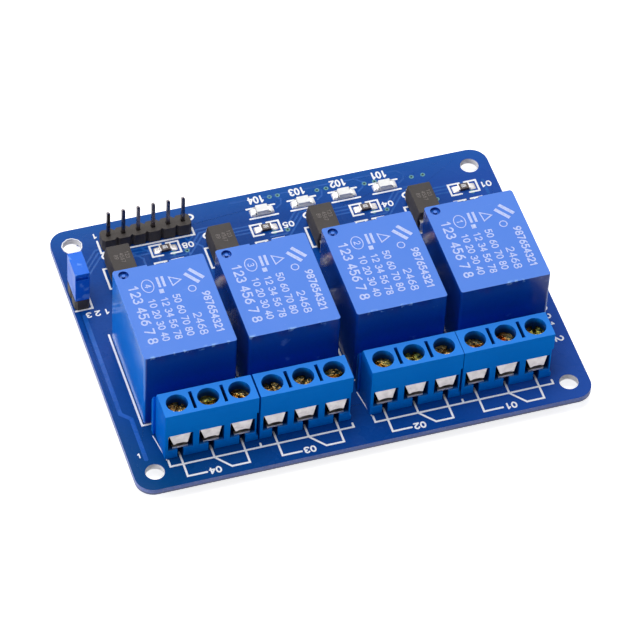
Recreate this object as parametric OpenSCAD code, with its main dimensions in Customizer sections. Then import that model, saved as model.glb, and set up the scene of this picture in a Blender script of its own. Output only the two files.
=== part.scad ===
// Relay module board: four relays, four screw terminal blocks, a control header and a supply jumper.
// +X runs along the board's long side, +Y from the screw terminals to the header, +Z up.
// The origin is the centre of the four mounting holes, on the underside of the board.

/* [Circuit board] */
// length along X
board_w = 76; // [60:0.5:100]
// depth along Y
board_d = 56.7; // [45:0.1:80]
// thickness
board_t = 1.2; // [0.8:0.1:2]
// corner radius
board_r = 3; // [1:0.5:6]
// mounting holes, centre to centre along X
hole_dx = 69.1; // [50:0.1:90]
// mounting holes, centre to centre along Y
hole_dy = 49.5; // [35:0.1:70]
// mounting hole diameter
hole_d = 3.1; // [2.5:0.1:4]
// how far the trimmed leads stand below the board
lead_out = 1.8; // [1:0.1:3]

/* [Relays] */
// width along X
relay_w = 15.1; // [14:0.1:17]
// length along Y
relay_l = 19.05; // [18:0.05:21]
// height above the board
relay_h = 15.8; // [14:0.1:18]
// relay centres along X, from the first channel to the last
relay_x = [26.05, 8.7, -9.05, -26.05];
// relay centre along Y
relay_y = -5.55; // [-10:0.05:0]
// wall of the case
case_t = 0.8; // [0.6:0.1:1.2]
// how far the released armature leans up from the pole, in degrees
arm_open = 2.6; // [1.5:0.1:4]

/* [Screw terminals] */
// distance between poles
pitch = 5.08; // [5:0.08:5.08]
// depth of one three-pole block along Y
term_d = 7.4; // [6.5:0.1:9]
// depth of its flat top
term_top_d = 4.9; // [4:0.1:6]
// height above the board
term_h = 10.2; // [9:0.1:12]
// front face of every block along Y
term_front = -22.8; // [-24:0.1:-20]
// block centres along X, from the first channel to the last
term_x = [24.45, 9.1, -9.2, -24.75];
// screw well diameter
well_d = 3.5; // [3:0.1:4]
// wire window width
window_w = 4.1; // [3:0.1:4.2]
// wire window height
window_h = 3.5; // [3:0.1:4]

/* [Control header and jumper] */
// header pitch
pin_pitch = 2.54; // [2:0.54:2.54]
// pins in the control header
header_n = 6; // [2:1:12]
// first control pin along X
header_x = -28.72; // [-34:0.01:20]
// control pins along Y
header_y = 23.5; // [20:0.1:26]
// height of the insulator strips
strip_h = 2.4; // [2:0.1:3]
// height of the pin tips above the board
pin_top = 7.85; // [6:0.05:9]
// jumper pins along X
jumper_x = -36.5; // [-37:0.1:30]
// middle of the jumper along Y
jumper_y = 13.45; // [0:0.05:20]

/* [Small parts] */
// distance between channels
channel = 17.3; // [16:0.1:20]
// first channel's optocoupler along X
opto_x = 23.55; // [20:0.05:28]
// optocouplers along Y
opto_y = 16.35; // [14:0.05:20]
// first channel's lamp along X
lamp_x = 19.24; // [10:0.01:24]
// lamps along Y
lamp_y = 23.85; // [20:0.05:26]
// distance between lamps
lamp_step = 7.15; // [5:0.05:9]
// first channel's chip resistor along X
chip_x = 31.95; // [28:0.05:35]
// chip resistors along Y, far row
chip_y = 20.1; // [18:0.1:22]
// distance from the far row to the near row
chip_row = 3.85; // [3:0.05:5]

/* [Hidden] */
$fn = 48;

top = board_t;              // upper face of the board
low = -lead_out;            // lowest point of the soldered leads
slip = 0.05;                // clearance of a lead or a loose piece in its slot
poles = [-1, 0, 1];
channels = [0 : 3];

// colours
mask_blue = [0.10, 0.24, 0.58];
case_blue = [0.30, 0.50, 0.92];
block_blue = [0.10, 0.42, 0.85];
jumper_blue = [0.15, 0.38, 0.90];
base_grey = [0.16, 0.17, 0.20];
copper = [0.72, 0.42, 0.22];
iron = [0.55, 0.56, 0.58];
tin = [0.78, 0.77, 0.74];
brass = [0.80, 0.62, 0.26];
strip_black = [0.10, 0.09, 0.09];
body_black = [0.17, 0.16, 0.16];
lamp_white = [0.95, 0.95, 0.93];
glass_red = [0.75, 0.45, 0.38];

// a block centred on X and Y that stands on z
module block(w, d, h, x = 0, y = 0, z = 0) {
    translate([x - w / 2, y - d / 2, z])
        cube([w, d, h]);
}

// a block with rounded upright edges
module round_block(w, d, h, r) {
    block(w - 2 * r, d, h);
    block(w, d - 2 * r, h);
    for (sx = [-1, 1], sy = [-1, 1])
        translate([sx * (w / 2 - r), sy * (d / 2 - r), 0])
            cylinder(h = h, r = r);
}

// an outline in Y and Z, drawn out along X and centred
module along_x(w, points) {
    translate([-w / 2, 0, 0])
        rotate([90, 0, 90])
            linear_extrude(height = w)
                polygon(points);
}

// ---------- circuit board ----------

// relay leads from the relay's centre: two coil leads, the common lead and two contact leads
coil_lead = [6, 4.8];
common_lead = [0, 6.9];
contact_lead = [6, -7.3];
relay_leads = [
    [-coil_lead[0], coil_lead[1]], coil_lead,
    common_lead,
    [-contact_lead[0], contact_lead[1]], contact_lead
];

// terminal leads stand under the middle of each clamp
term_lead_y = term_front + 3.3;

// optocoupler leads, from the middle of the body
opto_lead = [1.27, 3.81];

module lead_hole(x, y, d) {
    translate([x, y, -1])
        cylinder(h = board_t + 2, d = d);
}

module circuit_board() {
    color(mask_blue)
        difference() {
            round_block(board_w, board_d, board_t, board_r);
            for (sx = [-1, 1], sy = [-1, 1])
                lead_hole(sx * hole_dx / 2, sy * hole_dy / 2, hole_d);
            for (c = channels) {
                for (p = relay_leads)
                    lead_hole(relay_x[c] + p[0], relay_y + p[1], 1.3);
                for (i = poles)
                    lead_hole(term_x[c] + i * pitch, term_lead_y, 1.4);
                for (sx = [-1, 1], sy = [-1, 1])
                    lead_hole(opto_x - c * channel + sx * opto_lead[0], opto_y + sy * opto_lead[1], 0.8);
            }
            for (i = [0 : header_n - 1])
                lead_hole(header_x + i * pin_pitch, header_y, 1);
            for (s = [-1, 1])
                lead_hole(jumper_x, jumper_y + s * pin_pitch / 2, 1);
        }
}

// ---------- relay ----------

base_z = 0.5;               // underside of the base plate above the board
base_t = 1.4;
case_top_t = 0.9;
vent_d = 1.65;              // moulded vent mark in the roof
vent_in = [1.6, 1.2];       // its middle from the case's corner
vent_deep = 0.55;
nick_w = 3.6;               // shallow relief in the far wall's upper edge
nick_d = 0.35;
nick_h = 2.5;
frame_y = 6.4;              // inner face of the yoke's upright
frame_t = 1;
frame_w = 8.4;
core_y = 1.6;               // middle of the coil
pole_z = 12.1;              // pole face above the board
arm_t = 0.9;
arm_tail = frame_y + frame_t; // the armature pivots on the yoke's outer edge
blade_t = 0.25;
blade_y = -7.3;             // contact rivets along Y
rivet_d = 2;
rivet_h = 0.45;
blade_lift = (arm_tail - blade_y) * sin(arm_open);
strap_t = 0.4;

module at_relay(c) {
    translate([relay_x[c], relay_y, top])
        children();
}

module relay_case(c) {
    color(case_blue)
        at_relay(c)
            difference() {
                translate([0, 0, 0.2])
                    round_block(relay_w, relay_l, relay_h - 0.2, 0.45);
                translate([0, 0, -1])
                    block(relay_w - 2 * case_t, relay_l - 2 * case_t, relay_h - case_top_t + 1);
                translate([vent_in[0] - relay_w / 2, relay_l / 2 - vent_in[1], relay_h - vent_deep])
                    difference() {
                        cylinder(h = 1, d = vent_d);
                        cylinder(h = 0.35, d = 0.6);
                    }
                block(nick_w, 2 * nick_d, nick_h, 0, relay_l / 2, relay_h - nick_h + 0.01);
            }
}

module relay_base(c) {
    w = relay_w - 2 * case_t - 2 * slip;
    l = relay_l - 2 * case_t - 2 * slip;
    color(base_grey)
        at_relay(c)
            difference() {
                union() {
                    block(w, l, base_t, 0, 0, base_z);
                    for (sx = [-1, 1], sy = [-1, 1])
                        block(1.6, 1.6, base_z, sx * (w / 2 - 0.8), sy * (l / 2 - 0.8), 0);
                }
                for (p = relay_leads)
                    block(1.1, 0.7, base_t + 2, p[0], p[1], base_z - 1);
            }
}

module relay_coil(c) {
    foot = base_z + base_t + frame_t + slip;
    flange = 0.8;
    roof = pole_z - 1.2;
    color(copper)
        at_relay(c) {
            difference() {
                union() {
                    block(9.2, 9, flange, 0, core_y, foot);
                    block(9.2, 9, flange, 0, core_y, roof - flange);
                    translate([0, core_y, foot])
                        cylinder(h = roof - foot, d = 8.6);
                    for (s = [-1, 1])
                        block(2.6, 1.2, flange, s * 5.4, coil_lead[1], foot);
                }
                translate([0, core_y, foot - 1])
                    cylinder(h = roof, d = 4.1);
            }
            for (s = [-1, 1])
                block(0.8, 0.5, foot - low + top, s * coil_lead[0], coil_lead[1], low - top + 0.1);
        }
}

module relay_yoke(c) {
    floor_z = base_z + base_t;
    color(iron)
        at_relay(c) {
            block(frame_w, frame_y + frame_t - core_y + 4.4, frame_t, 0,
                  (frame_y + frame_t + core_y - 4.4) / 2, floor_z);
            block(frame_w, frame_t, pole_z - floor_z, 0, frame_y + frame_t / 2, floor_z);
            translate([0, core_y, floor_z])
                cylinder(h = pole_z - floor_z, d = 4);
            translate([0, core_y, pole_z - 1])
                cylinder(h = 1, d = 7);
            block(0.9, 0.5, floor_z - low + top + 0.5, 0, common_lead[1], low - top + 0.1);
        }
}

// the armature lies flat on the pole when closed and leans up by arm_open when released
module relay_armature(c) {
    nose = core_y - 4.4 - arm_tail;
    rivet_y = blade_y - arm_tail;
    color(iron)
        at_relay(c)
            translate([0, arm_tail, pole_z])
                rotate([-arm_open, 0, 0]) {
                    block(frame_w - 0.4, -nose, arm_t, 0, nose / 2);
                    block(3.4, nose - rivet_y + 2.4, blade_t, 0, (nose + rivet_y) / 2, arm_t - blade_t);
                    translate([0, rivet_y, arm_t - blade_t - rivet_h])
                        cylinder(h = 2 * rivet_h + blade_t, d = rivet_d);
                }
}

module relay_contacts(c) {
    upper_z = pole_z + arm_t + rivet_h + blade_lift + 2 * slip;
    lower_z = pole_z + arm_t - blade_t - rivet_h - slip;
    floor_z = base_z + base_t;
    seat_z = lower_z - rivet_h - strap_t;
    color(brass)
        at_relay(c) {
            // normally closed: the strap passes over the blade
            block(strap_t, 1, upper_z + 0.15 + strap_t - floor_z,
                  -contact_lead[0], contact_lead[1], floor_z);
            block(contact_lead[0] + 1, 1, strap_t,
                  0.4 - contact_lead[0] / 2, contact_lead[1], upper_z + 0.15);
            translate([0, blade_y, upper_z])
                cylinder(h = 0.3, d = rivet_d);
            // normally open: the strap passes under the blade
            block(strap_t, 1, seat_z + strap_t - floor_z, contact_lead[0], contact_lead[1], floor_z);
            block(contact_lead[0] + 1, 1, strap_t, contact_lead[0] / 2 - 0.4, contact_lead[1], seat_z);
            translate([0, blade_y, seat_z])
                cylinder(h = rivet_h + strap_t, d = rivet_d);
            for (s = [-1, 1])
                block(0.5, 0.6, floor_z - low + top + 0.1,
                      s * contact_lead[0], contact_lead[1], low - top + 0.1);
        }
}

// ---------- screw terminal block ----------

term_w = 3 * pitch;
term_back = term_front + term_d;
shoulder_z = 5.7;           // where the sloping back meets the upright back
sill_z = 1.85;              // lower edge of the wire windows
well_y = term_front + 2.45;
slot_w = 0.55;              // thin slots between the wells
slot_l = 3.5;
clamp_w = 3.7;              // metal clamp inside each chamber
clamp_d = 4.2;
clamp_z = sill_z + 0.02;
clamp_roof = 6.35;
guard_lean = 14;            // how far the wire guard leans forward, in degrees
head_z = 7.2;               // underside of the open screw's head
head_h = 1.3;
head_d = 3.2;
shank_d = 2.4;
lip = 0.3;                  // relief below the upper band, at the +X end
band_z = 6.6;

module at_term(c) {
    translate([term_x[c], 0, top])
        children();
}

// trapezoid rib that locks two blocks side by side
module dovetail(grow, h) {
    linear_extrude(height = h)
        polygon([[0.1, -0.3 - grow], [0.1, 0.3 + grow],
                 [-0.4 - grow, 0.5 + grow], [-0.4 - grow, -0.5 - grow]]);
}

module terminal_housing(c) {
    rib_y = term_front + 5.9;
    outline = [
        [term_front, 0], [term_back, 0], [term_back, shoulder_z],
        [term_front + term_top_d, term_h], [term_front, term_h]
    ];
    color(block_blue)
        at_term(c)
            difference() {
                union() {
                    along_x(term_w, outline);
                    intersection() {
                        translate([-term_w / 2, rib_y, 0])
                            dovetail(0, term_h);
                        along_x(term_w + 2, outline);
                    }
                }
                translate([term_w / 2, rib_y, -1])
                    dovetail(0.2, term_h + 2);
                block(2 * lip, term_d + 2, band_z - 1, term_w / 2, (term_front + term_back) / 2 - 3, 1);
                for (i = poles)
                    translate([i * pitch, 0, 0]) {
                        translate([0, well_y, clamp_roof])
                            cylinder(h = term_h, d = well_d);
                        // chamber of the clamp, open to the front through the window
                        block(window_w, 5.2, window_h, 0, term_front + 2.6 - 0.2, sill_z);
                        block(clamp_w + 0.2, clamp_d + 0.6, clamp_roof - sill_z + 0.05, 0,
                              term_front + 0.8 + clamp_d / 2, sill_z);
                        // slit from the window down to the board
                        block(1, 2.4, sill_z + 1.1, 0, term_front + 1.2 - 0.1, -1);
                        // passage of the solder lead
                        block(1.2, 1.2, sill_z + 1.1, 0, term_lead_y, -1);
                    }
                for (s = [-1, 1])
                    block(slot_w, slot_l, 4.2, s * pitch / 2, well_y, term_h - 4.2 + 0.01);
            }
}

// one clamp: a bent box of tinned metal with a threaded roof, a wire guard and a solder lead
module clamp() {
    t = 0.5;
    y0 = term_front + 1;
    y1 = y0 + clamp_d;
    mid = (y0 + y1) / 2;
    difference() {
        union() {
            block(2.6, clamp_d + 0.7, 0.35, 0, mid - 0.35, clamp_z);
            for (s = [-1, 1])
                block(0.3, clamp_d - 0.3, clamp_roof - clamp_z - 0.1,
                      s * (clamp_w / 2 - 0.15), mid + 0.15, clamp_z + 0.1);
            block(clamp_w, t, clamp_roof - clamp_z, 0, y1 - t / 2, clamp_z);
            block(clamp_w, clamp_d, 0.9, 0, mid, clamp_roof - 0.9);
        }
        translate([0, well_y, clamp_roof - 2])
            cylinder(h = 3, d = shank_d + 0.1);
    }
    // wire guard hanging from the roof's front edge, narrower at its lower edge
    translate([0, y0 + 0.1, clamp_roof - 0.1])
        rotate([90 - guard_lean, 0, 0])
            linear_extrude(height = 0.3)
                polygon([[-1.15, -3.35], [-0.5, -3.15], [0.5, -3.15], [1.15, -3.35], [clamp_w / 2, -1.3],
                         [clamp_w / 2, 0], [-clamp_w / 2, 0], [-clamp_w / 2, -1.3]]);
    block(0.9, 0.8, clamp_z - low + top + 0.2, 0, term_lead_y, low - top);
}

module terminal_contacts(c) {
    color(tin)
        at_term(c)
            for (i = poles)
                translate([i * pitch, 0, 0])
                    clamp();
}

// screws are numbered along the board, three to a block
module terminal_screw(n) {
    c = floor((n - 1) / 3);
    i = 1 - (n - 1) % 3;
    color(brass)
        at_term(c)
            translate([i * pitch, well_y, 0])
                difference() {
                    union() {
                        translate([0, 0, head_z])
                            cylinder(h = head_h, d = head_d);
                        translate([0, 0, clamp_roof - 1])
                            cylinder(h = head_z - clamp_roof + 1.1, d = shank_d);
                    }
                    rotate([0, 0, 30 + 47 * n])
                        block(head_d + 1, 0.6, 1, 0, 0, head_z + head_h - 0.7);
                }
}

// ---------- control header and jumper ----------

// insulator strip of n cells, h high, notched between the cells
module strip(n, h) {
    cut = 0.42;
    difference() {
        translate([-pin_pitch / 2, 0, 0])
            translate([0, -pin_pitch / 2, 0])
                cube([n * pin_pitch, pin_pitch, h]);
        for (i = [0 : n], s = [-1, 1])
            translate([(i - 0.5) * pin_pitch, s * pin_pitch / 2, -1])
                rotate([0, 0, 45])
                    block(cut * sqrt(2), cut * sqrt(2), h + 2);
        for (i = [0 : n - 1])
            block(0.66, 0.66, h + 2, i * pin_pitch, 0, -1);
    }
}

// square pin with a tapered tip
module square_pin() {
    tip = 0.3;
    w = 0.56;
    e = w / 3.2;
    block(w, w, pin_top - tip - low + top, 0, 0, low - top);
    intersection() {
        along_x(w, [[-w / 2, pin_top - tip - 0.01], [w / 2, pin_top - tip - 0.01],
                    [e, pin_top], [-e, pin_top]]);
        rotate([0, 0, 90])
            along_x(w, [[-w / 2, pin_top - tip - 0.01], [w / 2, pin_top - tip - 0.01],
                        [e, pin_top], [-e, pin_top]]);
    }
}

module header_strip() {
    color(strip_black)
        translate([header_x, header_y, top])
            strip(header_n, strip_h);
}

module header_pins() {
    color(iron)
        for (i = [0 : header_n - 1])
            translate([header_x + i * pin_pitch, header_y, top])
                square_pin();
}

module at_jumper() {
    translate([jumper_x, jumper_y, top])
        children();
}

module jumper_strip() {
    color(strip_black)
        at_jumper()
            translate([0, -pin_pitch / 2, 0])
                rotate([0, 0, 90])
                    strip(2, strip_h - 0.25);
}

module jumper_pins() {
    color(iron)
        at_jumper()
            for (s = [-1, 1])
                translate([0, s * pin_pitch / 2, 0])
                    square_pin();
}

cap_w = 2.42;
cap_l = 5;
cap_top = 8.5;              // top of the cap above the board
cap_z = strip_h - 0.2;
cap_in = [1.25, 4.1, 8.15]; // chamber of the clip: width, length and height of its roof

module jumper_cap() {
    color(jumper_blue)
        at_jumper()
            difference() {
                block(cap_w, cap_l, cap_top - cap_z, 0, 0, cap_z);
                block(cap_in[0], cap_in[1], cap_in[2] - cap_z + 1, 0, 0, cap_z - 1);
                for (s = [-1, 1])
                    block(1.9, 0.6, 0.75, 0, s * cap_l / 2, 7.1);
            }
}

// bent metal clip: two leaves that grip both pins, joined by a bridge above the pin tips
module jumper_clip() {
    leaf = 0.18;
    gap = 0.37;
    color(tin)
        at_jumper() {
            for (s = [-1, 1])
                block(leaf, 3.9, cap_in[2] - 3.1, s * (gap + leaf / 2), 0, 3.05);
            block(2 * gap + 0.02, 3.9, leaf, 0, 0, cap_in[2] - 0.05 - leaf);
        }
}

// ---------- small parts ----------

opto_z = 0.5;
opto_w = 4.58;
opto_l = 6.5;
opto_h = 3.5;

module at_opto(c) {
    translate([opto_x - c * channel, opto_y, top])
        children();
}

module optocoupler(c) {
    mid = opto_z + opto_h / 2;
    high = opto_z + opto_h;
    draft = 0.2;
    top_draft = 0.38;
    color(body_black)
        at_opto(c)
            difference() {
                rotate([0, 0, 90])
                    along_x(opto_l, [
                        [-opto_w / 2 + draft, opto_z], [opto_w / 2 - draft, opto_z], [opto_w / 2, mid],
                        [opto_w / 2 - top_draft, high], [-opto_w / 2 + top_draft, high], [-opto_w / 2, mid]
                    ]);
                for (sx = [-1, 1], sy = [-1, 1])
                    block(1.2 + 0.02, 0.8, 0.27, sx * opto_lead[0], sy * opto_l / 2, mid - 0.135);
            }
}

module optocoupler_leads() {
    mid = opto_z + opto_h / 2;
    t = 0.25;
    reach = opto_lead[1] + t / 2;
    color(tin)
        for (c = channels)
            at_opto(c)
                for (sx = [-1, 1], sy = [-1, 1])
                    translate([sx * opto_lead[0], 0, 0]) {
                        block(1.2, reach - opto_l / 2 + 0.35, t,
                              0, sy * (reach + opto_l / 2 - 0.35) / 2, mid - t / 2);
                        block(1.2, t, mid - 0.4, 0, sy * opto_lead[1], 0.4);
                        block(0.5, t, 1 - low + top, 0, sy * opto_lead[1], low - top);
                    }
}

module indicator_lamps() {
    color(lamp_white)
        for (c = channels)
            translate([lamp_x - c * lamp_step, lamp_y, top]) {
                block(3.2, 1.6, 0.5);
                block(2, 1.5, 1.05);
            }
}

module chip_resistors() {
    color(body_black)
        for (c = channels, row = [0, 1])
            translate([chip_x - c * channel - 0.1 * row, chip_y - row * chip_row, top])
                block(2, 1.25, 0.5);
}

diode_in = [7.3, -5.85];   // from each optocoupler's middle
diode_l = 3.6;
diode_d = 1.5;

module flyback_diodes() {
    color(glass_red)
        for (c = channels)
            at_opto(c)
                translate([diode_in[0], diode_in[1], diode_d / 2])
                    rotate([0, 90, 0])
                        cylinder(h = diode_l, d = diode_d, center = true);
}

transistor_in = [0.8, -6.1];

module driver_transistors() {
    color(body_black)
        for (c = channels)
            at_opto(c)
                translate([transistor_in[0], transistor_in[1], 0]) {
                    block(2.9, 1.3, 1, 0, 0, 0.1);
                    for (p = [[-0.95, -1], [0.95, -1], [0, 1]]) {
                        block(0.42, 0.8, 0.14, p[0], p[1] * 0.95, 0);
                        block(0.42, 0.3, 0.5, p[0], p[1] * 0.72, 0);
                    }
                }
}

circuit_board();
relay_case(0);  // relay_case_1
relay_case(1);  // relay_case_2
relay_case(2);  // relay_case_3
relay_case(3);  // relay_case_4
relay_base(0);  // relay_base_1
relay_base(1);  // relay_base_2
relay_base(2);  // relay_base_3
relay_base(3);  // relay_base_4
relay_coil(0);  // relay_coil_1
relay_coil(1);  // relay_coil_2
relay_coil(2);  // relay_coil_3
relay_coil(3);  // relay_coil_4
relay_yoke(0);  // relay_yoke_1
relay_yoke(1);  // relay_yoke_2
relay_yoke(2);  // relay_yoke_3
relay_yoke(3);  // relay_yoke_4
relay_armature(0);  // relay_armature_1
relay_armature(1);  // relay_armature_2
relay_armature(2);  // relay_armature_3
relay_armature(3);  // relay_armature_4
relay_contacts(0);  // relay_contacts_1
relay_contacts(1);  // relay_contacts_2
relay_contacts(2);  // relay_contacts_3
relay_contacts(3);  // relay_contacts_4
terminal_housing(0);  // terminal_housing_1
terminal_housing(1);  // terminal_housing_2
terminal_housing(2);  // terminal_housing_3
terminal_housing(3);  // terminal_housing_4
terminal_contacts(0);  // terminal_contacts_1
terminal_contacts(1);  // terminal_contacts_2
terminal_contacts(2);  // terminal_contacts_3
terminal_contacts(3);  // terminal_contacts_4
terminal_screw(1);  // terminal_screw_1
terminal_screw(2);  // terminal_screw_2
terminal_screw(3);  // terminal_screw_3
terminal_screw(4);  // terminal_screw_4
terminal_screw(5);  // terminal_screw_5
terminal_screw(6);  // terminal_screw_6
terminal_screw(7);  // terminal_screw_7
terminal_screw(8);  // terminal_screw_8
terminal_screw(9);  // terminal_screw_9
terminal_screw(10);  // terminal_screw_10
terminal_screw(11);  // terminal_screw_11
terminal_screw(12);  // terminal_screw_12
header_strip();
header_pins();
jumper_strip();
jumper_pins();
jumper_cap();
jumper_clip();
optocoupler(0);  // optocoupler_1
optocoupler(1);  // optocoupler_2
optocoupler(2);  // optocoupler_3
optocoupler(3);  // optocoupler_4
optocoupler_leads();
indicator_lamps();
chip_resistors();
flyback_diodes();
driver_transistors();
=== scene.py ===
"""Relay module board: dresses the CAD frame with materials, print, solder and small details."""
import bpy
import bmesh
import math
from mathutils import Matrix, Vector


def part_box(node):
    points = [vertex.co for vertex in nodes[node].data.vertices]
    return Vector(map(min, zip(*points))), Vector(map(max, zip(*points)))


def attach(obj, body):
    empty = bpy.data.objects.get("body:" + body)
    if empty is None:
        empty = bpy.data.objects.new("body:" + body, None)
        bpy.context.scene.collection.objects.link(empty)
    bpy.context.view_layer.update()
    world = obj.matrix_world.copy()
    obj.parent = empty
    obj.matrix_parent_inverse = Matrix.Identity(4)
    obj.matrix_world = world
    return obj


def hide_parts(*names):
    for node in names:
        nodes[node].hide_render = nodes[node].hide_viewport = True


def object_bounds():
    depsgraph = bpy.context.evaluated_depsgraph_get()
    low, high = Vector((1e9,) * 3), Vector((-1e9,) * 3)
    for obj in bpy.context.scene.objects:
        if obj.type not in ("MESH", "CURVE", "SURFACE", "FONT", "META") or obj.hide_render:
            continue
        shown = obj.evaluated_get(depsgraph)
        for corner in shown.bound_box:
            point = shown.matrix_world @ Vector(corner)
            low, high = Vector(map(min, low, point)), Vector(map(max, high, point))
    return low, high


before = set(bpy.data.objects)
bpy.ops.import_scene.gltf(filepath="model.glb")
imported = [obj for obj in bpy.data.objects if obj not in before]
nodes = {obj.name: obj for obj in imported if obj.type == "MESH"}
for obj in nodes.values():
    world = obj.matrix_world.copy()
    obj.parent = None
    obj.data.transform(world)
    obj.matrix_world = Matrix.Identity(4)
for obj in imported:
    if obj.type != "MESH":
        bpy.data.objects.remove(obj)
cad_lo, cad_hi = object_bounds()
scene = bpy.context.scene
MM = 0.001
CHANNELS = range(4)


def box(name):
    """Lowest and highest corner of a CAD node, in millimetres."""
    lo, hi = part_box(name)
    return lo / MM, hi / MM


def middle(name):
    lo, hi = box(name)
    return (lo + hi) / 2


board_lo, board_hi = box("circuit_board")
top = board_hi.z
under = board_lo.z
low = cad_lo.z / MM

# ---------------------------------------------------------------- camera

cam_data = bpy.data.cameras.new("camera")
cam_data.sensor_width = 36
cam_data.lens = 228.766
cam_data.clip_start, cam_data.clip_end = 0.05, 20
cam = bpy.data.objects.new("camera", cam_data)
scene.collection.objects.link(cam)
scene.camera = cam
cam_right = Vector((0.95291967, -0.30057767, 0.03996446))
cam_up = Vector((0.2011082, 0.72513668, 0.65858354))
cam_back = Vector((-0.22693521, -0.61954004, 0.75144564))
turn = Matrix((cam_right, cam_up, cam_back)).transposed()
cam.matrix_world = Matrix.Translation((-0.14977192, -0.41019299, 0.49689659)) @ turn.to_4x4()

# ---------------------------------------------------------------- materials


class Shader:
    """A Principled material built from a few noise layers in object space."""

    def __init__(self, name, colour, rough, metal=0.0, spec=0.5):
        self.mat = bpy.data.materials.new(name)
        self.mat.use_nodes = True
        self.mat.diffuse_color = (*colour, 1)
        self.tree = self.mat.node_tree
        self.bsdf = self.tree.nodes["Principled BSDF"]
        self.put("Metallic", metal)
        self.put("Specular IOR Level", spec)
        self.put("Roughness", rough)
        self.put("Base Color", (*colour, 1))
        self.rough = rough
        self.coord = self.tree.nodes.new("ShaderNodeTexCoord")
        self.colour = None
        self.base = colour
        self.bump = None

    def put(self, socket, value):
        self.bsdf.inputs[socket].default_value = value
        return self

    def node(self, kind, **values):
        n = self.tree.nodes.new(kind)
        for key, value in values.items():
            if key in n.inputs:
                n.inputs[key].default_value = value
            else:
                setattr(n, key, value)
        return n

    def link(self, a, b):
        self.tree.links.new(a, b)

    def space(self, stretch=(1, 1, 1), turn=0.0, shift=(0, 0, 0)):
        """Object coordinates in millimetres, stretched or turned about Z."""
        m = self.node("ShaderNodeMapping")
        m.inputs["Scale"].default_value = [s / MM for s in stretch]
        m.inputs["Rotation"].default_value = (0, 0, math.radians(turn))
        m.inputs["Location"].default_value = shift
        self.link(self.coord.outputs["Object"], m.inputs["Vector"])
        return m.outputs["Vector"]

    def noise(self, per_mm, detail=2.0, stretch=(1, 1, 1), turn=0.0, shift=(0, 0, 0)):
        n = self.node("ShaderNodeTexNoise", Scale=per_mm, Detail=detail)
        self.link(self.space(stretch, turn, shift), n.inputs["Vector"])
        return n.outputs["Fac"]

    def ramp(self, value, low_in, high_in, low_out=0.0, high_out=1.0):
        n = self.node("ShaderNodeMapRange")
        n.inputs["From Min"].default_value = low_in
        n.inputs["From Max"].default_value = high_in
        n.inputs["To Min"].default_value = low_out
        n.inputs["To Max"].default_value = high_out
        self.link(value, n.inputs["Value"])
        return n.outputs["Result"]

    def math(self, operation, a, b=None):
        n = self.node("ShaderNodeMath", operation=operation)
        for i, v in enumerate((a, b)):
            if v is None:
                continue
            if isinstance(v, (int, float)):
                n.inputs[i].default_value = v
            else:
                self.link(v, n.inputs[i])
        return n.outputs[0]

    def product(self, *factors):
        out = factors[0]
        for f in factors[1:]:
            out = self.math("MULTIPLY", out, f)
        return out

    def mix(self, factor, colour):
        """Lays a colour over what is there, by the factor."""
        n = self.node("ShaderNodeMix", data_type="RGBA")
        self.link(factor, n.inputs["Factor"])
        first, second = [s for s in n.inputs if s.type == "RGBA"]
        if self.colour is None:
            first.default_value = (*self.base, 1)
        else:
            self.link(self.colour, first)
        second.default_value = (*colour, 1)
        self.colour = [s for s in n.outputs if s.type == "RGBA"][0]
        self.link(self.colour, self.bsdf.inputs["Base Color"])
        return self

    def cloud(self, per_mm, amount, detail=2.0, stretch=(1, 1, 1)):
        """Slow or fine variation of the colour's lightness, up and down by the amount."""
        f = self.noise(per_mm, detail, stretch)
        dark = tuple(max(0.0, c * (1 - 1.8 * amount)) for c in self.base)
        pale = tuple(min(1.0, c * (1 + 1.8 * amount) + 0.02 * amount) for c in self.base)
        self.mix(self.ramp(f, 0.55, 0.30, 0, 0.8), dark)
        self.mix(self.ramp(f, 0.45, 0.70, 0, 0.8), pale)
        return self

    def grain(self, per_mm, height, detail=2.0, stretch=(1, 1, 1), turn=0.0):
        """Relief, with its height in millimetres."""
        b = self.node("ShaderNodeBump")
        b.inputs["Distance"].default_value = height * MM
        b.inputs["Strength"].default_value = 1.0
        self.link(self.noise(per_mm, detail, stretch, turn), b.inputs["Height"])
        if self.bump is not None:
            self.link(self.bump, b.inputs["Normal"])
        self.bump = b.outputs["Normal"]
        self.link(self.bump, self.bsdf.inputs["Normal"])
        return self

    def patchy(self, per_mm, amount, stretch=(1, 1, 1)):
        """Roughness that drifts up and down by the amount."""
        f = self.noise(per_mm, 3.0, stretch, shift=(7, 3, 1))
        least, most = max(0.02, self.rough - amount), min(1, self.rough + amount)
        self.link(self.ramp(f, 0.3, 0.7, least, most), self.bsdf.inputs["Roughness"])
        return self

    def normal_along(self, letter):
        """How far the surface faces along an axis, either way: 0 to 1."""
        n = self.node("ShaderNodeSeparateXYZ")
        self.link(self.coord.outputs["Normal"], n.inputs["Vector"])
        return self.math("ABSOLUTE", n.outputs[letter])

    def normal_z(self):
        return self.normal_along("Z")

    def axis(self, letter):
        """The place along an axis, in millimetres."""
        n = self.node("ShaderNodeSeparateXYZ")
        self.link(self.space(), n.inputs["Vector"])
        return n.outputs[letter]


def plastic(name, colour, rough, spec=0.4, grain=(9, 0.006), drift=0.04):
    s = Shader(name, colour, rough, spec=spec)
    s.cloud(0.12, drift, 3.0)
    s.cloud(6.0, drift * 0.6, 1.0)
    s.grain(grain[0], grain[1], 3.0)
    s.patchy(0.5, 0.06)
    return s


def metal(name, colour, rough, grain=(5, 0.006), drift=0.06, stretch=(1, 1, 1)):
    s = Shader(name, colour, rough, metal=1.0)
    s.cloud(0.8, drift, 3.0, stretch)
    s.grain(grain[0], grain[1], 4.0, stretch)
    s.patchy(1.2, 0.1, stretch)
    return s


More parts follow.
